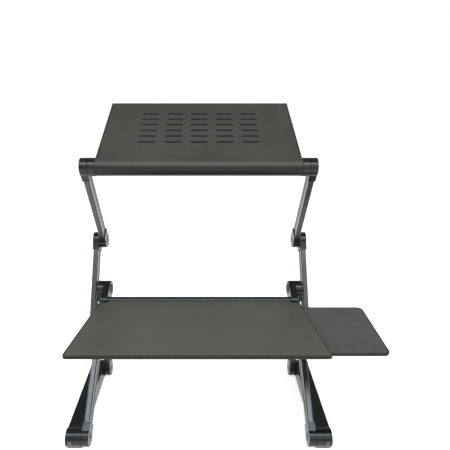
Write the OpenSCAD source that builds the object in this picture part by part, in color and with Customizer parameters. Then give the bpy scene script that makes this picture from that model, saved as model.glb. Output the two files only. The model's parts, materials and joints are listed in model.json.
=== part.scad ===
// Folding desk riser: two five-link legs carry a tilted top panel, a keyboard tray and a mouse platform.
// X runs across the desk, Y runs from the user to the back, Z is up. The desk surface is Z = 0,
// Y = 0 is the axis of the front floor pivots and X = 0 is midway between the legs.

/* [Legs] */
// Distance between the pivots of the foot, of the lower segment and of the tray post
leg_len = 226; // [220:1:230]
// Distance between the pivots of the middle segment
middle_len = 217; // [214:1:222]
// Distance between the pivots of the upper segment
upper_len = 238; // [232:1:242]
// Angle of the lower segment above the desk
lower_angle = 39; // [36:1:42]
// Angle of the middle segment above the desk
middle_angle = 57.2; // [55:0.2:60]
// Angle of the upper segment, leaning forwards
upper_angle = 119.6; // [115:0.2:124]
// Angle of the post that carries the tray
post_angle = 90; // [86:1:92]
// Radius of the round joint hubs
hub_r = 19; // [18:0.5:20]
// Thickness of one hub along X
hub_t = 15.6; // [15:0.1:15.8]
// Thickness of an extruded leg bar along X
bar_t = 12; // [10:0.5:14]
// Depth of an extruded leg bar
bar_h = 30; // [26:1:32]

/* [Top panel] */
// Width of the top panel between its end brackets
panel_w = 420; // [400:2:440]
// Length of the top panel from its pivot to its rear edge
panel_len = 241; // [220:1:260]
// Tilt of the top panel
panel_tilt = 23; // [15:1:30]
// Radius of the tube along the front of the top panel
panel_tube_r = 18; // [17:0.5:18.5]
// Thickness of the plate
panel_plate_t = 4; // [3:0.5:5]

/* [Keyboard tray] */
// Width of the keyboard tray
tray_w = 450; // [430:2:450]
// Depth of the keyboard tray
tray_len = 288; // [270:1:288]
// Thickness of the keyboard tray
tray_t = 5; // [4:0.5:6]
// Slope of the tray, falling towards the back
tray_slope = 10.9; // [9:0.1:12]
// Radius of the cross rod behind the tray
rod_r = 8; // [7:0.5:9]

/* [Mouse platform] */
// Width of the mouse platform
mouse_w = 210; // [190:1:210]
// Depth of the mouse platform
mouse_d = 173; // [160:1:178]
// Thickness of the mouse platform
mouse_t = 5; // [4:0.5:6]

/* [Hidden] */
$fn = 64;

black = "#1b1b1d";
anodised = "#7d848f";
tray_grey = "#55534c";
rubber = "#101010";
steel = "#9a9a9c";

// The hubs stand side by side in slices, numbered outwards from the panel's end bracket
slice_gap = 0.4;
bracket_slice = 0;
leg_slice = 1;
middle_slice = 2;
rail_slice = 3;
function slice_x(n) = panel_w / 2 + n * (hub_t + slice_gap);

// Pivot positions as [y, z]
desk_clearance = 1;
front_pivot = [0, hub_r + desk_clearance];
function along(from, len, angle) = from + len * [cos(angle), sin(angle)];
rear_pivot = along(front_pivot, leg_len, 0);
knee_pivot = along(front_pivot, leg_len, lower_angle);
elbow_pivot = along(knee_pivot, middle_len, middle_angle);
panel_pivot = along(elbow_pivot, upper_len, upper_angle);
tray_pivot = along(rear_pivot, leg_len, post_angle);

// How far two shapes of one solid run into each other
weld = 0.5;

// Joint hardware
pin_r = 4;
run_gap = 0.05;
head_r = 8;
head_t = 3;
button_r = 11;
button_gap = 0.3;
button_t = 7;
button_proud = 2;
pocket_depth = 12.5;
ring_t = 3;
ring_bore_r = 5;
ring_root_r = 9.6;
ring_tip_r = 11;
ring_teeth = 24;
pin_in_ring = 2.5;
washer_in_r = 5.5;
washer_out_r = 9;
washer_rise = 0.6;
washer_t = 0.4;

// Hub sockets and bars
neck_len = 26;
neck_h = bar_h + 2;
bar_corner_r = 2.5;
bar_hollow_t = bar_t - 5;
bar_hollow_h = bar_h - 6;
tenon_len = 16;
tenon_gap = 0.1;
side_groove_w = 12;
side_groove_depth = 0.8;
edge_groove_w = 3;
edge_groove_depth = 0.6;

// Feet
pad_len = 20;
pad_t = 4;
foot_bar_h = 30;
spacer = [20, 8];
spacer_places = [60, 146];

// Top panel extrusion
panel_tube_wall = 2.5;
panel_bead_r = 4;
panel_rib_w = 2;
panel_rib_h = 6;
panel_rib_places = [77, 125, 173];
panel_rise = panel_tube_r;
bracket_plug_len = 20;
bracket_plug_gap = 0.1;
vent_len = 38;
vent_w = 5;
vent_columns = 5;
vent_rows = 6;
vent_pitch_x = 56;
vent_pitch_y = 24;
vent_start_y = 66;

// Tray
tray_front = [-107, 297];
tray_corner_r = 9;
tray_notch_w = 16;
tray_notch_len = 14;
rod_end_x = panel_w / 2 + hub_t - 0.6;
rod_pos = tray_front + (tray_len + rod_r) * [cos(tray_slope), -sin(tray_slope)]
  - tray_t / 2 * [sin(tray_slope), cos(tray_slope)];
nose_r = 11;
tongue_len = 30;
tongue_in_nose = 3;
tongue_t = 4;
tongue_in_x = 196;
tongue_end = tray_len - tray_notch_len - 1;
screw_r = 2;
screw_head_r = 3.5;
screw_head_t = 2;
screw_bite = 3;
tray_screw_places = [8, 22];
tray_screw_x = 203;

// Mouse platform
mouse_left = 155;
mouse_front = -15;
mouse_top = 235;
mouse_corner_r = 12;
swivel = [185, 70];
swivel_washer_r = 12;
swivel_washer_t = 1;
swivel_gap = 0.2;
swivel_pad_r = 14;
swivel_flange = [56, 40, 3];
swivel_screw_x = 21;
swivel_bolt_bite = 12;
knob_r = 13;
knob_t = 11;
knob_lobes = 8;
knob_dimple_r = 3;
knob_floor = 3;

// ---- Helpers ----
module at(p) translate([0, p[0], p[1]]) children();
module left() mirror([1, 0, 0]) children();
module both() { children(); left() children(); }
// Extrudes a [y, z] outline from x0 to x1
module across(x0, x1) translate([x0, 0, 0]) rotate([90, 0, 90]) linear_extrude(x1 - x0) children();
module disc(r, x0, x1) across(x0, x1) circle(r);
module rounded(size, r) {
  translate([r, 0]) square([size[0] - 2 * r, size[1]]);
  translate([0, r]) square([size[0], size[1] - 2 * r]);
  for (x = [r, size[0] - r], y = [r, size[1] - r]) translate([x, y]) circle(r);
}

// ---- Joint hardware ----
// Space cut in a hub that carries the pivot pin's head on its inner face
module pin_seat() {
  disc(pin_r + run_gap, -1, hub_t + 1);
  disc(head_r + run_gap, -1, head_t);
}
// Space cut in a hub that holds the lock ring and the release button at its outer face
module button_seat() {
  disc(pin_r + run_gap, -1, hub_t + 1);
  disc(button_r + button_gap, hub_t - pocket_depth, hub_t + 1);
}
module plain_seat() disc(pin_r + run_gap, -1, hub_t + 1);
// Turns a seat around, so that it opens on the hub's other face
module turned() translate([hub_t, 0, 0]) mirror([1, 0, 0]) children();
// Turns the stack of the two innermost slices around, so that its button faces inwards
module facing_in() translate([slice_x(bracket_slice) + slice_x(leg_slice) + hub_t, 0, 0])
  mirror([1, 0, 0]) children();
module pivot_pin(pivot, inner, outer) {
  inner_x = slice_x(inner);
  at(pivot) {
    disc(head_r, inner_x, inner_x + head_t);
    disc(pin_r, inner_x + head_t - weld, slice_x(outer) + hub_t - pocket_depth + pin_in_ring);
  }
}
// Toothed ring at the bottom of the button pocket, one tooth every 15 degrees
module lock_ring(pivot, slice) {
  step = 360 / ring_teeth;
  floor_x = slice_x(slice) + hub_t - pocket_depth;
  at(pivot) across(floor_x, floor_x + ring_t) difference() {
    polygon([for (i = [0:ring_teeth - 1], k = [0:3])
      let (a = (i + k / 4) * step, r = k < 2 ? ring_tip_r : ring_root_r) r * [cos(a), sin(a)]]);
    circle(ring_bore_r);
  }
}
// Cone washer that pushes the button back out
module spring_washer(pivot, slice) {
  at(pivot) translate([slice_x(slice) + hub_t - pocket_depth + ring_t, 0, 0]) rotate([0, 90, 0])
    rotate_extrude() polygon([
      [washer_in_r, 0], [washer_out_r, washer_rise],
      [washer_out_r, washer_rise + washer_t], [washer_in_r, washer_t]]);
}
module button(pivot, slice) {
  face = slice_x(slice) + hub_t;
  color(black) at(pivot) translate([face + button_proud - button_t, 0, 0]) rotate([0, 90, 0])
    rotate_extrude() polygon([
      [0, 0], [button_r, 0], [button_r, button_t - 1], [button_r - 1, button_t],
      [button_r - 3, button_t], [button_r - 4, button_t - 0.8], [0, button_t - 0.8]]);
}

// ---- Leg segments, drawn along +Y from their first pivot ----
module place_segment(pivot, angle, slice)
  at(pivot) rotate([angle, 0, 0]) translate([slice_x(slice), 0, 0]) children();
module hub_end() {
  disc(hub_r, 0, hub_t);
  translate([0, 0, -neck_h / 2]) cube([hub_t, neck_len, neck_h]);
  tenon_w = bar_hollow_t - 2 * tenon_gap;
  tenon_h = bar_hollow_h - 2 * tenon_gap;
  translate([(hub_t - tenon_w) / 2, neck_len - 1, -tenon_h / 2]) cube([tenon_w, tenon_len + 1, tenon_h]);
}
module hub_pair(len) {
  difference() { hub_end(); children(0); }
  translate([0, len, 0]) difference() { mirror([0, 1, 0]) hub_end(); children(1); }
}
module leg_bar(len) {
  color(anodised) translate([hub_t / 2, neck_len, 0]) rotate([-90, 0, 0]) linear_extrude(len - 2 * neck_len)
    difference() {
      translate([-bar_t / 2, -bar_h / 2]) rounded([bar_t, bar_h], bar_corner_r);
      square([bar_hollow_t, bar_hollow_h], center = true);
      for (s = [-1, 1]) {
        translate([s * bar_t / 2, 0]) square([2 * side_groove_depth, side_groove_w], center = true);
        translate([0, s * bar_h / 2]) square([edge_groove_w, 2 * edge_groove_depth], center = true);
      }
    }
}

// ---- Feet ----
module foot_member(slice) {
  color(black) difference() {
    at(front_pivot) translate([slice_x(slice), 0, 0]) {
      for (y = [0, leg_len]) translate([0, y, 0]) disc(hub_r, 0, hub_t);
      translate([0, 0, -foot_bar_h / 2]) cube([hub_t, leg_len, foot_bar_h]);
    }
    foot_pad_blocks(slice_gap);
    for (p = [front_pivot, rear_pivot]) at(p) translate([slice_x(slice), 0, 0]) children();
  }
}
module foot_beam() foot_member(middle_slice) plain_seat();
module foot_rail() {
  foot_member(rail_slice) button_seat();
  // Thin spacer ribs that close the seam between the two foot members
  color(black) for (y = spacer_places) translate([slice_x(rail_slice) - slice_gap, y, front_pivot[1]])
    cube([slice_gap, spacer[0], spacer[1]]);
}
module foot_pad_blocks(grow) {
  for (p = [front_pivot, rear_pivot]) translate([slice_x(middle_slice) - grow, p[0] - pad_len / 2, -grow])
    cube([2 * hub_t + slice_gap + 2 * grow, pad_len, pad_t + grow]);
}
module foot_pads() color(rubber) both() foot_pad_blocks(0);
module foot_lock_rings() color(steel) both() for (p = [front_pivot, rear_pivot]) lock_ring(p, rail_slice);
module foot_spring_washers() color(steel) both()
  for (p = [front_pivot, rear_pivot]) spring_washer(p, rail_slice);

// ---- Lower legs ----
module lower_leg_bar() place_segment(front_pivot, lower_angle, leg_slice) leg_bar(leg_len);
module lower_leg_hubs() color(black) both()
  place_segment(front_pivot, lower_angle, leg_slice) hub_pair(leg_len) { pin_seat(); pin_seat(); }
module front_pivot_pins() color(steel) both() pivot_pin(front_pivot, leg_slice, rail_slice);
module knee_pivot_pins() color(steel) both() pivot_pin(knee_pivot, leg_slice, middle_slice);

// ---- Middle legs ----
module middle_leg_bar() place_segment(knee_pivot, middle_angle, middle_slice) leg_bar(middle_len);
module middle_leg_hubs() color(black) both()
  place_segment(knee_pivot, middle_angle, middle_slice) hub_pair(middle_len) { button_seat(); button_seat(); }
module middle_lock_rings() color(steel) both() for (p = [knee_pivot, elbow_pivot]) lock_ring(p, middle_slice);
module middle_spring_washers() color(steel) both()
  for (p = [knee_pivot, elbow_pivot]) spring_washer(p, middle_slice);

// ---- Upper legs ----
module upper_leg_bar() place_segment(elbow_pivot, upper_angle, leg_slice) leg_bar(upper_len);
module upper_leg_hubs() color(black) both()
  place_segment(elbow_pivot, upper_angle, leg_slice) hub_pair(upper_len) { pin_seat(); button_seat(); }
module elbow_pivot_pins() color(steel) both() pivot_pin(elbow_pivot, leg_slice, middle_slice);
module upper_lock_rings() color(steel) both() lock_ring(panel_pivot, leg_slice);
module upper_spring_washers() color(steel) both() spring_washer(panel_pivot, leg_slice);

// ---- Top panel ----
module panel_frame() at(panel_pivot) rotate([panel_tilt, 0, 0]) children();
// Section through the panel: the front tube, the plate tangent to its top, the rear bead and the ribs
module panel_outline() difference() {
  union() {
    circle(panel_tube_r);
    translate([0, panel_rise - panel_plate_t]) square([panel_len - panel_bead_r, panel_plate_t]);
    translate([panel_len - panel_bead_r, panel_rise - panel_bead_r]) circle(panel_bead_r);
    for (y = panel_rib_places) translate([y, panel_rise - panel_plate_t - panel_rib_h + weld])
      square([panel_rib_w, panel_rib_h]);
  }
  circle(panel_tube_r - panel_tube_wall);
}
module vent_slot() {
  cube([vent_len - vent_w, vent_w, panel_rise * 2], center = true);
  for (s = [-1, 1]) translate([s * (vent_len - vent_w) / 2, 0, 0])
    cylinder(h = panel_rise * 2, d = vent_w, center = true);
}
module top_panel() color(tray_grey) panel_frame() difference() {
  across(-panel_w / 2, panel_w / 2) panel_outline();
  for (i = [0:vent_columns - 1], j = [0:vent_rows - 1])
    translate([(i - (vent_columns - 1) / 2) * vent_pitch_x, vent_start_y + j * vent_pitch_y, panel_rise])
      vent_slot();
}
module panel_brackets() {
  plug_r = panel_tube_r - panel_tube_wall - bracket_plug_gap;
  color(black) both() panel_frame() translate([slice_x(bracket_slice), 0, 0]) difference() {
    union() {
      disc(hub_r, 0, hub_t);
      disc(plug_r, -bracket_plug_len, weld);
    }
    disc(pin_r + run_gap, -bracket_plug_len - 1, hub_t + 1);
    disc(head_r + run_gap, -bracket_plug_len - 1, head_t);
  }
}
module panel_pivot_pins() color(steel) both() pivot_pin(panel_pivot, bracket_slice, leg_slice);

// ---- Tray posts ----
module tray_post_bar() place_segment(rear_pivot, post_angle, leg_slice) leg_bar(leg_len);
module tray_post_hubs() color(black) both()
  place_segment(rear_pivot, post_angle, leg_slice) hub_pair(leg_len) { pin_seat(); turned() pin_seat(); }
module rear_pivot_pins() color(steel) both() pivot_pin(rear_pivot, leg_slice, rail_slice);
module tray_pivot_pins() color(steel) both() facing_in() pivot_pin(tray_pivot, bracket_slice, leg_slice);

// ---- Keyboard tray ----
// Local frame of the tray: origin at the front edge of its upper face, +Y towards the back
module tray_frame() at(tray_front) rotate([-tray_slope, 0, 0]) children();
module keyboard_tray() color(tray_grey) tray_frame() difference() {
  translate([-tray_w / 2, 0, -tray_t]) linear_extrude(tray_t) rounded([tray_w, tray_len], tray_corner_r);
  for (s = [-1, 1]) translate([s * tray_w / 2, tray_len, 0])
    cube([2 * tray_notch_w, 2 * tray_notch_len, 4 * tray_t], center = true);
  for (s = [-1, 1], y = tray_screw_places)
    translate([s * tray_screw_x, tongue_end - y, -tray_t - 1])
      cylinder(r = screw_r + run_gap, h = screw_bite + 1);
  for (s = [-1, 1]) translate([swivel[0] + s * swivel_screw_x, swivel_local_y, -tray_t - 1])
    cylinder(r = screw_r + run_gap, h = screw_bite + 1);
}
// Outline of two discs joined by their outer tangents
module tapered_link(p, r, q, s) {
  gap = norm(q - p);
  lean = atan2(q[1] - p[1], q[0] - p[0]);
  spread = acos((r - s) / gap);
  translate(p) circle(r);
  translate(q) circle(s);
  polygon([
    p + r * [cos(lean + spread), sin(lean + spread)], q + s * [cos(lean + spread), sin(lean + spread)],
    q + s * [cos(lean - spread), sin(lean - spread)], p + r * [cos(lean - spread), sin(lean - spread)]]);
}
module tray_bracket() color(black) {
  x0 = slice_x(bracket_slice);
  difference() {
    union() {
      across(x0, x0 + hub_t) tapered_link(tray_pivot, hub_r, rod_pos, nose_r);
      tray_frame() translate([tongue_in_x, tongue_end - tongue_len, -tray_t - tongue_t])
        cube([x0 + hub_t / 2 - tongue_in_x, tongue_len + tray_notch_len + tongue_in_nose, tongue_t]);
    }
    at(tray_pivot) translate([x0, 0, 0]) turned() button_seat();
    at(rod_pos) disc(rod_r + run_gap, 0, x0 + 2 * hub_t);
    for (y = tray_screw_places) tray_frame() translate([tray_screw_x, tongue_end - y, -tray_t - tongue_t - 1])
      cylinder(r = screw_r + run_gap, h = tongue_t + 2);
  }
}
module tray_rod() color(black) at(rod_pos) disc(rod_r, -rod_end_x, rod_end_x);
module tray_lock_rings() color(steel) both() facing_in() lock_ring(tray_pivot, leg_slice);
module tray_spring_washers() color(steel) both() facing_in() spring_washer(tray_pivot, leg_slice);
module tray_screw(drop) {
  translate([0, 0, -tray_t - drop - screw_head_t]) cylinder(r = screw_head_r, h = screw_head_t);
  translate([0, 0, -tray_t - drop - weld]) cylinder(r = screw_r, h = drop + screw_bite);
}
module tray_screws() color(steel) tray_frame() {
  for (s = [-1, 1], y = tray_screw_places)
    translate([s * tray_screw_x, tongue_end - y, 0]) tray_screw(tongue_t);
  for (s = [-1, 1])
    translate([swivel[0] + s * swivel_screw_x, swivel_local_y, 0]) tray_screw(swivel_flange[2]);
}

// ---- Mouse platform ----
swivel_local_y = (swivel[1] - tray_front[0]) / cos(tray_slope);
bracket_bottom = mouse_top + swivel_washer_t + swivel_gap;
knob_bottom = mouse_top - mouse_t - swivel_gap - knob_t;
module mouse_bracket() color(black) difference() {
  union() {
    translate([swivel[0], swivel[1], bracket_bottom])
      cylinder(r = swivel_pad_r, h = tray_front[1] - bracket_bottom);
    tray_frame() translate([swivel[0] - swivel_flange[0] / 2, swivel_local_y - swivel_flange[1] / 2,
      -tray_t - swivel_flange[2]]) cube(swivel_flange);
  }
  tray_frame() translate([0, 0, -tray_t]) cube([tray_w, tray_len, tray_w]);
  translate([swivel[0], swivel[1], bracket_bottom - 1])
    cylinder(r = pin_r + run_gap, h = swivel_bolt_bite + 1 + weld);
  tray_frame() for (s = [-1, 1])
    translate([swivel[0] + s * swivel_screw_x, swivel_local_y, -tray_t - swivel_flange[2] - 1])
      cylinder(r = screw_r + run_gap, h = swivel_flange[2] + 2);
}
module mouse_bolt() color(steel) translate([swivel[0], swivel[1], knob_bottom + knob_floor])
  cylinder(r = pin_r, h = bracket_bottom + swivel_bolt_bite - knob_bottom - knob_floor);
module mouse_knob() color(black) translate([swivel[0], swivel[1], knob_bottom])
  difference() {
    cylinder(r = knob_r, h = knob_t);
    for (i = [0:knob_lobes - 1]) rotate(i * 360 / knob_lobes) translate([knob_r + 1, 0, -1])
      cylinder(r = knob_dimple_r, h = knob_t + 2);
    translate([0, 0, knob_floor]) cylinder(r = pin_r, h = knob_t);
  }
module mouse_platform() color(tray_grey) difference() {
  translate([mouse_left, mouse_front, mouse_top - mouse_t]) linear_extrude(mouse_t)
    rounded([mouse_w, mouse_d], mouse_corner_r);
  translate([swivel[0], swivel[1], mouse_top - 2 * mouse_t]) cylinder(r = pin_r + run_gap, h = 3 * mouse_t);
}
module mouse_washer() color(rubber) translate([swivel[0], swivel[1], mouse_top]) difference() {
  cylinder(r = swivel_washer_r, h = swivel_washer_t);
  translate([0, 0, -1]) cylinder(r = pin_r + run_gap, h = swivel_washer_t + 2);
}

// ---- Parts ----
left() foot_beam();  // foot_beam_left
foot_beam();  // foot_beam_right
left() foot_rail();  // foot_rail_left
foot_rail();  // foot_rail_right
foot_pads();
foot_lock_rings();
foot_spring_washers();
left() lower_leg_bar();  // lower_leg_bar_left
lower_leg_bar();  // lower_leg_bar_right
lower_leg_hubs();
front_pivot_pins();
knee_pivot_pins();
left() middle_leg_bar();  // middle_leg_bar_left
middle_leg_bar();  // middle_leg_bar_right
middle_leg_hubs();
middle_lock_rings();
middle_spring_washers();
left() upper_leg_bar();  // upper_leg_bar_left
upper_leg_bar();  // upper_leg_bar_right
upper_leg_hubs();
elbow_pivot_pins();
upper_lock_rings();
upper_spring_washers();
top_panel();
panel_brackets();
panel_pivot_pins();
left() tray_post_bar();  // tray_post_bar_left
tray_post_bar();  // tray_post_bar_right
tray_post_hubs();
rear_pivot_pins();
tray_lock_rings();
tray_spring_washers();
keyboard_tray();
left() tray_bracket();  // tray_bracket_left
tray_bracket();  // tray_bracket_right
tray_rod();
tray_pivot_pins();
tray_screws();
mouse_bracket();
mouse_bolt();
mouse_knob();
mouse_platform();
mouse_washer();
left() button(front_pivot, rail_slice);  // front_button_left
button(front_pivot, rail_slice);  // front_button_right
left() button(rear_pivot, rail_slice);  // rear_button_left
button(rear_pivot, rail_slice);  // rear_button_right
left() button(knee_pivot, middle_slice);  // knee_button_left
button(knee_pivot, middle_slice);  // knee_button_right
left() button(elbow_pivot, middle_slice);  // elbow_button_left
button(elbow_pivot, middle_slice);  // elbow_button_right
left() button(panel_pivot, leg_slice);  // panel_button_left
button(panel_pivot, leg_slice);  // panel_button_right
left() facing_in() button(tray_pivot, leg_slice);  // tray_button_left
facing_in() button(tray_pivot, leg_slice);  // tray_button_right
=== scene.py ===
"""Looks, light and camera for the folding desk riser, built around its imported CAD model."""

import json
import math

import bmesh
import bpy
from mathutils import Matrix, Vector


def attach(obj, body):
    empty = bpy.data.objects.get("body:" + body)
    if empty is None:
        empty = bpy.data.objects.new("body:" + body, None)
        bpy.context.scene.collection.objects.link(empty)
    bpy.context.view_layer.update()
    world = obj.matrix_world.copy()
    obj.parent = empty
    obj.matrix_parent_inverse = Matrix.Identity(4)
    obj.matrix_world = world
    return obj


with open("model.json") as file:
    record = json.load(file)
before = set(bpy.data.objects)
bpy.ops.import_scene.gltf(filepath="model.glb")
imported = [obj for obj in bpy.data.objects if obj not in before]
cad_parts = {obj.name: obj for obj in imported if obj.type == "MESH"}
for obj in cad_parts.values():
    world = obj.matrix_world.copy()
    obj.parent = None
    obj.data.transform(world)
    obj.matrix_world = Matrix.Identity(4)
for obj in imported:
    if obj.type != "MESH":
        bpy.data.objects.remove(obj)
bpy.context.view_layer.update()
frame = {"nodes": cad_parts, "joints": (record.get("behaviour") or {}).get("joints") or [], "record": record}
NODES = frame["nodes"]
SLOT_OF = {s["node"]: s["material_slot"] for s in frame["record"]["subparts"]}
JOINTS = {j["name"]: j for j in frame["joints"]}
MM = 0.001

# Angles of the leg segments above the desk, as the CAD stores them
LOWER_ANGLE = 39
MIDDLE_ANGLE = 57.2
UPPER_ANGLE = 119.6
POST_ANGLE = 90
PANEL_TILT = 23
TRAY_SLOPE = 10.9


# ---- Node helpers ----
class Graph:
    """A material's node tree, with short calls for the nodes used here."""

    def __init__(self, name):
        self.material = bpy.data.materials.new(name)
        self.material.use_nodes = True
        self.tree = self.material.node_tree
        self.shader = self.tree.nodes["Principled BSDF"]

    def node(self, kind, **values):
        made = self.tree.nodes.new(kind)
        for key, value in values.items():
            setattr(made, key, value)
        return made

    def link(self, source, target):
        self.tree.links.new(source, target)

    def feed(self, socket, value):
        if isinstance(value, bpy.types.NodeSocket):
            self.link(value, socket)
        else:
            socket.default_value = value

    def place(self, turn=(0, 0, 0), stretch=(1, 1, 1)):
        """Coordinates of the row frame, turned about X, Y, Z in degrees and stretched."""
        where = self.node("ShaderNodeTexCoord").outputs["Object"]
        turned = self.node("ShaderNodeMapping")
        turned.inputs["Rotation"].default_value = [math.radians(a) for a in turn]
        self.link(where, turned.inputs["Vector"])
        scaled = self.node("ShaderNodeMapping")
        scaled.inputs["Scale"].default_value = stretch
        self.link(turned.outputs["Vector"], scaled.inputs["Vector"])
        return scaled.outputs["Vector"]

    def noise(self, where, scale, detail=4.0, roughness=0.55):
        made = self.node("ShaderNodeTexNoise")
        self.link(where, made.inputs["Vector"])
        made.inputs["Scale"].default_value = scale
        made.inputs["Detail"].default_value = detail
        made.inputs["Roughness"].default_value = roughness
        return made.outputs["Fac"]

    def span(self, value, from_low, from_high, low, high):
        made = self.node("ShaderNodeMapRange")
        self.link(value, made.inputs["Value"])
        ends = {"From Min": from_low, "From Max": from_high, "To Min": low, "To Max": high}
        for key, number in ends.items():
            made.inputs[key].default_value = number
        return made.outputs["Result"]

    def maths(self, operation, a, b=0.0):
        made = self.node("ShaderNodeMath", operation=operation)
        self.feed(made.inputs[0], a)
        self.feed(made.inputs[1], b)
        return made.outputs[0]

    def mix(self, share, a, b):
        made = self.node("ShaderNodeMix", data_type="RGBA")
        colours = [s for s in made.inputs if s.type == "RGBA"]
        self.feed(made.inputs["Factor"], share)
        for socket, colour in zip(colours, (a, b)):
            self.feed(socket, colour if isinstance(colour, bpy.types.NodeSocket) else (*colour, 1))
        return [s for s in made.outputs if s.type == "RGBA"][0]

    def edges(self, radius):
        """Share from 0 on a flat face to 1 on a sharp edge, from the bevelled normal."""
        soft = self.node("ShaderNodeBevel", samples=4)
        soft.inputs["Radius"].default_value = radius
        true = self.node("ShaderNodeNewGeometry").outputs["Normal"]
        dot = self.node("ShaderNodeVectorMath", operation="DOT_PRODUCT")
        self.link(soft.outputs["Normal"], dot.inputs[0])
        self.link(true, dot.inputs[1])
        return self.span(dot.outputs["Value"], 0.995, 0.85, 0.0, 1.0)

    def bump(self, height, depth, strength=1.0):
        made = self.node("ShaderNodeBump")
        made.inputs["Strength"].default_value = strength
        made.inputs["Distance"].default_value = depth
        self.link(height, made.inputs["Height"])
        self.link(made.outputs["Normal"], self.shader.inputs["Normal"])

    def finish(self, colour, roughness, metallic=0.0, specular=0.5):
        self.feed(self.shader.inputs["Base Color"], colour)
        self.feed(self.shader.inputs["Roughness"], roughness)
        self.shader.inputs["Metallic"].default_value = metallic
        self.shader.inputs["Specular IOR Level"].default_value = specular
        return self.material


# ---- Materials ----
def black_paint(name):
    """Semi-gloss black paint on cast metal, with orange peel and slightly rubbed edges."""
    g = Graph(name)
    where = g.place()
    blotch = g.noise(where, 30)
    peel = g.noise(where, 900, detail=2)
    base = g.mix(blotch, (0.0045, 0.0045, 0.0042), (0.0085, 0.0085, 0.008))
    worn = g.maths("MULTIPLY", g.edges(0.6 * MM), g.span(g.noise(where, 140), 0.45, 0.65, 0.1, 0.8))
    colour = g.mix(worn, base, (0.04, 0.04, 0.038))
    roughness = g.span(blotch, 0.3, 0.7, 0.2, 0.3)
    g.bump(peel, 0.06 * MM, 0.35)
    return g.finish(colour, roughness, specular=0.4)


def bar_finish_with_painted_highlight(name, angle):
    """Black anodised extrusion, whose fine draw lines run along a bar at this angle, with a painted
    highlight: its sharp edges are painted pale grey.
    """
    g = Graph(name)
    where = g.place(turn=(-angle, 0, 0), stretch=(1, 0.02, 1))
    lines = g.noise(where, 1400, detail=3)
    broad = g.noise(g.place(), 18)
    base = g.mix(broad, (0.012, 0.013, 0.015), (0.02, 0.021, 0.024))
    streaked = g.mix(g.span(lines, 0.35, 0.65, 0.0, 0.6), base, (0.032, 0.034, 0.039))
    # Painted highlight: pale grey painted along every sharp edge of the bar.
    colour = g.mix(g.maths("MULTIPLY", g.edges(0.5 * MM), 0.8), streaked, (0.3, 0.31, 0.33))
    roughness = g.span(lines, 0.3, 0.7, 0.2, 0.32)
    g.bump(lines, 0.02 * MM, 0.3)
    return g.finish(colour, roughness, specular=0.85)


def coat_with_painted_shade(name, turn, dark, light):
    """Satin powder coat in brown grey on the faces turned up, and painted shade: every face turned away from
    up, including the sheet's edges, underside and tube front, is painted near-black.
    """
    g = Graph(name)
    where = g.place()
    cloud = g.noise(where, 7, detail=3)
    grain = g.noise(where, 1300, detail=3)
    tint = g.mix(g.span(cloud, 0.3, 0.7, 0.0, 1.0), dark, light)
    fleck = g.mix(g.span(grain, 0.4, 0.75, 0.0, 0.35), tint, (0.16, 0.155, 0.14))
    # Painted shade: faces whose normal turns away from the plate's up direction get near-black colour
    # instead of the coat.
    up = g.node("ShaderNodeVectorMath", operation="DOT_PRODUCT")
    g.link(g.node("ShaderNodeTexCoord").outputs["Normal"], up.inputs[0])
    up.inputs[1].default_value = turn
    top = g.span(up.outputs["Value"], 0.55, 0.9, 0.0, 1.0)
    colour = g.mix(top, (0.006, 0.006, 0.0055), fleck)
    roughness = g.span(grain, 0.3, 0.7, 0.4, 0.56)
    g.bump(grain, 0.08 * MM, 0.5)
    return g.finish(colour, roughness, specular=0.35)


def moulded(name, light, rough):
    """Black plastic or rubber with a fine moulded texture."""
    g = Graph(name)
    where = g.place()
    pits = g.node("ShaderNodeTexVoronoi")
    pits.inputs["Scale"].default_value = 1500
    g.link(where, pits.inputs["Vector"])
    dust = g.noise(where, 60)
    colour = g.mix(g.span(dust, 0.4, 0.8, 0.0, 1.0), (0.008, 0.008, 0.008), (light, light, light))
    roughness = g.span(dust, 0.3, 0.7, rough - 0.08, rough + 0.08)
    g.bump(pits.outputs["Distance"], 0.05 * MM, 0.5)
    return g.finish(colour, roughness, specular=0.35)


def zinc(name):
    """Zinc plated steel, turned, with faint marks."""
    g = Graph(name)
    where = g.place(stretch=(1, 6, 6))
    marks = g.noise(where, 300)
    spots = g.noise(g.place(), 90)
    colour = g.mix(spots, (0.34, 0.34, 0.345), (0.5, 0.5, 0.505))
    colour = g.mix(g.maths("MULTIPLY", g.edges(0.3 * MM), 0.6), colour, (0.7, 0.7, 0.7))
    g.bump(marks, 0.03 * MM, 0.4)
    return g.finish(colour, g.span(marks, 0.3, 0.7, 0.22, 0.38), metallic=1.0)


def black_oxide(name):
    """Turned steel with a black oxide finish, rubbed a little at the edges."""
    g = Graph(name)
    marks = g.noise(g.place(stretch=(1, 6, 6)), 300)
    spots = g.noise(g.place(), 90)
    colour = g.mix(spots, (0.02, 0.02, 0.021), (0.04, 0.04, 0.042))
    colour = g.mix(g.maths("MULTIPLY", g.edges(0.3 * MM), 0.6), colour, (0.2, 0.2, 0.2))
    g.bump(marks, 0.03 * MM, 0.4)
    return g.finish(colour, g.span(marks, 0.3, 0.7, 0.3, 0.45), metallic=1.0)


def mark_paint(name):
    """Pale grey printed marks, worn thin in places."""
    g = Graph(name)
    patch = g.noise(g.place(), 700)
    colour = g.mix(g.span(patch, 0.35, 0.7, 0.0, 1.0), (0.42, 0.42, 0.4), (0.2, 0.2, 0.19))
    g.bump(patch, 0.02 * MM, 0.3)
    return g.finish(colour, g.span(patch, 0.3, 0.7, 0.45, 0.6))


def up_of(slope):
    """The upward direction of a plate that rises by slope degrees towards the back."""
    a = math.radians(slope)
    return (0, -math.sin(a), math.cos(a))


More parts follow.
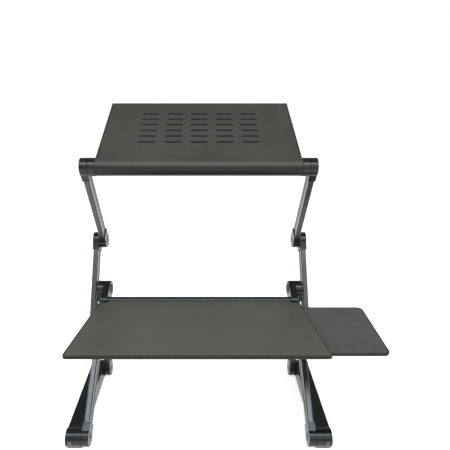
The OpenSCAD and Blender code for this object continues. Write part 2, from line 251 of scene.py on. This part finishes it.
BAR_ANGLES = {"lower": LOWER_ANGLE, "middle": MIDDLE_ANGLE, "upper": UPPER_ANGLE, "tray": POST_ANGLE}
BARS = {key: bar_finish_with_painted_highlight("bar_" + key, angle) for key, angle in BAR_ANGLES.items()}
PANEL_SHADES = ((0.029, 0.027, 0.02), (0.042, 0.039, 0.03))
TRAY_SHADES = ((0.062, 0.055, 0.042), (0.082, 0.075, 0.062))
MOUSE_SHADES = ((0.066, 0.06, 0.054), (0.088, 0.082, 0.076))
PLATES = {
    "top_panel": coat_with_painted_shade("coat_painted_shade_panel", up_of(PANEL_TILT), *PANEL_SHADES),
    "keyboard_tray": coat_with_painted_shade("coat_painted_shade_tray", up_of(-TRAY_SLOPE), *TRAY_SHADES),
    "mouse_platform": coat_with_painted_shade("coat_painted_shade_mouse", up_of(0), *MOUSE_SHADES),
}
SLOTS = {
    "black_frame": black_paint("frame_paint"),
    "black_plastic": moulded("button_plastic", 0.02, 0.42),
    "rubber": moulded("pad_rubber", 0.016, 0.75),
    "steel": zinc("zinc_plate"),
    "dark_steel": black_oxide("black_oxide"),
}
MARKS = mark_paint("printed_marks")


def material_for(node):
    if node in PLATES:
        return PLATES[node]
    if "_bar_" in node:
        return BARS[node.split("_")[0]]
    return SLOTS[SLOT_OF[node]]


# ---- Rounded edges on the CAD nodes ----
EDGE_WIDTHS = {"_bar_": 0.35, "foot_": 0.9, "_hubs": 0.8, "panel_brackets": 0.8, "tray_bracket": 0.8}
PLATE_EDGE = 0.9
SMALL_EDGE = 0.25
PLAIN = ("foot_lock_rings", "middle_lock_rings", "upper_lock_rings", "tray_lock_rings")


def edge_width(node):
    if node in PLATES:
        return PLATE_EDGE
    for key, width in EDGE_WIDTHS.items():
        if key in node:
            return width
    return SMALL_EDGE


def round_edges(obj, width):
    """Joins the CAD faces, clears their inner lines and rounds the sharp edges by width in millimetres."""
    weld = obj.modifiers.new("weld", "WELD")
    weld.merge_threshold = 0.002 * MM
    flat = obj.modifiers.new("flat", "DECIMATE")
    flat.decimate_type = "DISSOLVE"
    flat.angle_limit = math.radians(1.0)
    bevel = obj.modifiers.new("bevel", "BEVEL")
    bevel.width = width * MM
    bevel.segments = 2
    bevel.limit_method = "ANGLE"
    bevel.angle_limit = math.radians(40)
    bevel.miter_outer = "MITER_ARC"
    normals = obj.modifiers.new("normals", "WEIGHTED_NORMAL")
    normals.weight = 80
    normals.keep_sharp = False


def dress(node, obj):
    obj.data.materials.clear()
    obj.data.materials.append(material_for(node))
    if node not in PLAIN and "washer" not in node:
        round_edges(obj, edge_width(node))


for cad_name, cad_object in NODES.items():
    dress(cad_name, cad_object)


# ---- Edge bands of the plates ----
BAND_W = 3.0 * MM
BAND_RISE = 0.3 * MM
BAND_IN = 0.02 * MM
CORNER_STEPS = 8

# Outlines of the plates in metres, as the CAD has them
TRAY_HALF, TRAY_DEPTH, TRAY_CORNER = 225 * MM, 288 * MM, 9 * MM
NOTCH_W, NOTCH_D = 16 * MM, 14 * MM
TRAY_FRONT = (0, -107 * MM, 297 * MM)
MOUSE_LEFT, MOUSE_RIGHT = 155 * MM, 365 * MM
MOUSE_FRONT, MOUSE_BACK, MOUSE_CORNER = -15 * MM, 158 * MM, 12 * MM
MOUSE_TOP = (0, 0, 235 * MM)
SHEET = 5 * MM
PANEL_HALF, PANEL_SHEET, PANEL_LIFT = 210 * MM, 4 * MM, 18 * MM
# The panel's bands stop before the rounded bead at its rear edge, so that they stay inside the CAD box
PANEL_START, PANEL_END = 12 * MM, 235 * MM


def rounded_path(corners):
    """Points along an outline whose corners are (x, y, radius), counter-clockwise; radius 0 stays sharp."""
    points = []
    for i, (x, y, r) in enumerate(corners):
        here = Vector((x, y))
        before = (Vector(corners[i - 1][:2]) - here).normalized()
        after = (Vector(corners[(i + 1) % len(corners)][:2]) - here).normalized()
        if r == 0:
            points.append(here)
            continue
        centre = here + (before + after) * r
        first = here + before * r - centre
        last = here + after * r - centre
        for k in range(CORNER_STEPS + 1):
            a = math.radians(90) * k / CORNER_STEPS
            points.append(centre + first * math.cos(a) + last * math.sin(a))
    return points


def inward(points, i, closed):
    """Direction into the outline at point i, stretched at a corner so that offsets stay parallel."""
    count = len(points)
    here = points[i]
    ahead = points[(i + 1) % count] if closed or i < count - 1 else 2 * here - points[i - 1]
    behind = points[i - 1] if closed or i > 0 else 2 * here - ahead
    a = (here - behind).normalized()
    b = (ahead - here).normalized()
    left_a, left_b = Vector((-a.y, a.x)), Vector((-b.y, b.x))
    return (left_a + left_b) / max(1 + left_a.dot(left_b), 0.2)


def band_section(low, high):
    """Section of an edge band as (distance in from the edge, height), with soft upper and lower corners."""
    soft = 0.5 * MM
    inner = BAND_W
    return [
        (BAND_IN, low + 2 * soft), (BAND_IN, high - 2 * soft), (BAND_IN + soft * 0.6, high - 0.6 * soft),
        (BAND_IN + 2 * soft, high), (inner - soft * 0.6, high), (inner, high - soft),
        (inner, low + soft), (inner - soft * 0.6, low), (BAND_IN + 2 * soft, low),
        (BAND_IN + soft * 0.6, low + 0.6 * soft),
    ]


def add_mesh(name, vertices, faces, body, material):
    mesh = bpy.data.meshes.new(name)
    mesh.from_pydata([tuple(v) for v in vertices], [], faces)
    made = bmesh.new()
    made.from_mesh(mesh)
    bmesh.ops.recalc_face_normals(made, faces=made.faces)
    made.to_mesh(mesh)
    made.free()
    mesh.materials.append(material)
    obj = bpy.data.objects.new(name, mesh)
    bpy.context.scene.collection.objects.link(obj)
    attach(obj, body)
    return obj


def smooth(obj):
    for face in obj.data.polygons:
        face.use_smooth = True
    obj.data.set_sharp_from_angle(angle=math.radians(50))


def edge_band(name, corners, thickness, place, body, closed=True):
    """A black band around a plate, or along one side of it, whose upper face is the local plane z = 0."""
    points = rounded_path(corners) if closed else [Vector(c) for c in corners]
    section = band_section(-thickness - BAND_RISE, BAND_RISE)
    vertices = []
    for i, point in enumerate(points):
        into = inward(points, i, closed)
        for u, v in section:
            vertices.append(place @ Vector((*(point + into * u), v)))
    n, count = len(section), len(points)
    faces = []
    for i in range(count if closed else count - 1):
        for k in range(n):
            a, b = i * n + k, i * n + (k + 1) % n
            c, d = ((i + 1) % count) * n + (k + 1) % n, ((i + 1) % count) * n + k
            faces.append((a, b, c, d))
    if not closed:
        faces.append(tuple(range(n)))
        faces.append(tuple(reversed(range((count - 1) * n, count * n))))
    obj = add_mesh(name, vertices, faces, body, SLOTS["black_plastic"])
    smooth(obj)


def tilted(origin, slope):
    """Local plate frame: origin in the row frame in metres, rising by slope degrees towards the back."""
    return Matrix.Translation(origin) @ Matrix.Rotation(math.radians(slope), 4, "X")


def make_bands():
    w, d, r = TRAY_HALF, TRAY_DEPTH, TRAY_CORNER
    tray = [
        (-w, 0, r), (w, 0, r), (w, d - NOTCH_D, 0), (w - NOTCH_W, d - NOTCH_D, 0), (w - NOTCH_W, d, 0),
        (NOTCH_W - w, d, 0), (NOTCH_W - w, d - NOTCH_D, 0), (-w, d - NOTCH_D, 0),
    ]
    edge_band("tray_edge_band", tray, SHEET, tilted(TRAY_FRONT, -TRAY_SLOPE), "tray")
    x0, x1, y0, y1, corner = MOUSE_LEFT, MOUSE_RIGHT, MOUSE_FRONT, MOUSE_BACK, MOUSE_CORNER
    platform = [(x0, y0, corner), (x1, y0, corner), (x1, y1, corner), (x0, y1, corner)]
    edge_band("mouse_edge_band", platform, SHEET, tilted(MOUSE_TOP, 0), "mouse_table")
    pivot = JOINTS["panel_tilt"]["pos_m"]
    place = tilted(pivot, PANEL_TILT) @ Matrix.Translation((0, 0, PANEL_LIFT))
    right = [(PANEL_HALF, PANEL_START), (PANEL_HALF, PANEL_END)]
    left = [(-PANEL_HALF, PANEL_END), (-PANEL_HALF, PANEL_START)]
    edge_band("panel_edge_band_right", right, PANEL_SHEET, place, "panel", closed=False)
    edge_band("panel_edge_band_left", left, PANEL_SHEET, place, "panel", closed=False)


# ---- Small marks and pin heads ----
def make_marks():
    """Three short index marks on the front rim of each outer floor hub."""
    hub_r, face_in, face_out = 19 * MM, 260.5 * MM, 267.5 * MM
    axis_y, axis_z = JOINTS["front_pivot"]["pos_m"][1:]
    for side, name in ((1, "right"), (-1, "left")):
        vertices, faces = [], []
        for angle in (171, 179, 187):
            for da, r in ((-1, -0.3), (1, -0.3), (1, 0.06), (-1, 0.06)):
                a = math.radians(angle + da)
                reach = hub_r + r * MM
                y = axis_y + reach * math.cos(a)
                z = axis_z + reach * math.sin(a)
                for x in (face_in, face_out):
                    vertices.append((side * x, y, z))
            b = len(vertices) - 8
            faces += [(b, b + 2, b + 4, b + 6), (b + 1, b + 7, b + 5, b + 3)]
            for k in range(4):
                p, q = b + 2 * k, b + 2 * ((k + 1) % 4)
                faces.append((p, p + 1, q + 1, q))
        add_mesh("index_marks_" + name, vertices, faces, "base", MARKS)


def head_profile():
    """Radius and height of a low domed pin head, from the rim to the floor of its hexagonal socket."""
    return ((7.6, 0.0), (7.5, 0.12), (7.0, 0.24), (5.6, 0.3), (3.4, 0.3), (3.1, 0.2), (2.9, -0.6))


HEX = 6
HEAD_STEPS = 48
# Inner and outer faces of the leg slice along X, in millimetres
LEG_IN_X = 226
LEG_OUT_X = 241.6


def ring_radius(r, angle, share):
    """Radius of a ring that goes from a circle, at share 0, to a hexagon across corners r, at share 1."""
    sector = math.pi / HEX
    off = (angle % (2 * sector)) - sector
    flat = r * math.cos(sector) / math.cos(off)
    return r + (flat - r) * share


def make_pin_heads():
    """A domed cap with a hexagonal socket on every pivot pin, on the face that the pin is put in from."""
    heads = {
        "front_pivot": (LEG_IN_X, "lower_legs", -1),
        "knee_pivot": (LEG_IN_X, "lower_legs", -1),
        "elbow_pivot": (LEG_IN_X, "upper_legs", -1),
        "rear_pivot": (LEG_IN_X, "posts", -1),
        "tray_tilt": (LEG_OUT_X, "posts", 1),
    }
    for joint, (face, body, way) in heads.items():
        _, y, z = JOINTS[joint]["pos_m"]
        vertices, faces = [], []
        for side in (1, -1):
            start = len(vertices)
            rings = head_profile()
            for k, (r, h) in enumerate(rings):
                share = 1.0 if k >= 4 else 0.0
                for i in range(HEAD_STEPS):
                    a = 2 * math.pi * i / HEAD_STEPS
                    reach = ring_radius(r, a, share) * MM
                    x = side * (face + way * h) * MM
                    vertices.append((x, y + reach * math.cos(a), z + reach * math.sin(a)))
            for k in range(len(rings) - 1):
                for i in range(HEAD_STEPS):
                    a, b = start + k * HEAD_STEPS + i, start + k * HEAD_STEPS + (i + 1) % HEAD_STEPS
                    faces.append((a, b, b + HEAD_STEPS, a + HEAD_STEPS))
            floor = start + (len(rings) - 1) * HEAD_STEPS
            faces.append(tuple(range(floor, floor + HEAD_STEPS)))
            faces.append(tuple(range(start, start + HEAD_STEPS)))
        smooth(add_mesh("pin_heads_" + joint, vertices, faces, body, SLOTS["dark_steel"]))


make_bands()
make_marks()
make_pin_heads()


# ---- Stage, light and camera ----
CAMERA_PLACE = (0.012, -0.7252, 0.7499)
CAMERA_DOWN = 19.81
CAMERA_LENS = 35.72
CAMERA_SHIFT = 0.0453
FLOOR_GLOW = 0.8
WORLD_SEEN = 1.0
WORLD_LIGHT = 0.3


def plain_material(name, colour, roughness):
    g = Graph(name)
    tone = g.noise(g.place(), 2)
    pale = tuple(c * 0.98 for c in colour)
    return g.finish(g.mix(tone, pale, colour), roughness, specular=0.0)


def make_floor():
    bpy.ops.mesh.primitive_plane_add(size=60, location=(0, 0, 0))
    floor = bpy.context.object
    floor.name = "floor"
    white = plain_material("floor_white", (0.85, 0.85, 0.85), 0.9)
    shader = white.node_tree.nodes["Principled BSDF"]
    shader.inputs["Emission Color"].default_value = (1, 1, 1, 1)
    shader.inputs["Emission Strength"].default_value = FLOOR_GLOW
    floor.data.materials.append(white)


def area_light(name, place, aim, size, power, colour):
    data = bpy.data.lights.new(name, "AREA")
    data.shape = "RECTANGLE"
    data.size, data.size_y = size
    data.energy = power
    data.color = colour
    lamp = bpy.data.objects.new(name, data)
    bpy.context.scene.collection.objects.link(lamp)
    lamp.location = place
    lamp.rotation_euler = (Vector(aim) - Vector(place)).to_track_quat("-Z", "Y").to_euler()


def make_world():
    world = bpy.data.worlds.new("studio")
    bpy.context.scene.world = world
    world.use_nodes = True
    tree = world.node_tree
    back = tree.nodes["Background"]
    path = tree.nodes.new("ShaderNodeLightPath")
    level = tree.nodes.new("ShaderNodeMapRange")
    level.inputs["To Min"].default_value = WORLD_LIGHT
    level.inputs["To Max"].default_value = WORLD_SEEN
    tree.links.new(path.outputs["Is Camera Ray"], level.inputs["Value"])
    tree.links.new(level.outputs["Result"], back.inputs["Strength"])
    back.inputs["Color"].default_value = (1, 1, 1, 1)


def make_camera():
    data = bpy.data.cameras.new("camera")
    data.sensor_width = 36
    data.lens = CAMERA_LENS
    data.shift_x = CAMERA_SHIFT
    data.clip_end = 200
    camera = bpy.data.objects.new("camera", data)
    camera.location = CAMERA_PLACE
    camera.rotation_euler = (math.radians(90 - CAMERA_DOWN), 0, 0)
    bpy.context.scene.collection.objects.link(camera)
    bpy.context.scene.camera = camera


make_floor()
make_world()
area_light("top", (-0.05, -0.85, 2.0), (0, 0.05, 0.2), (2.3, 0.8), 40, (0.8, 0.9, 1.0))
area_light("front", (0.2, -2.6, 1.7), (0, 0, 0.3), (2.4, 1.4), 20, (1.0, 0.98, 0.95))
area_light("left", (-2.4, 0.6, 1.2), (0, 0, 0.3), (1.0, 1.6), 8, (1.0, 1.0, 1.0))
area_light("right", (2.4, 0.6, 1.2), (0, 0, 0.3), (1.0, 1.6), 12, (1.0, 1.0, 1.0))
bpy.context.scene.view_settings.view_transform = "Standard"
make_camera()
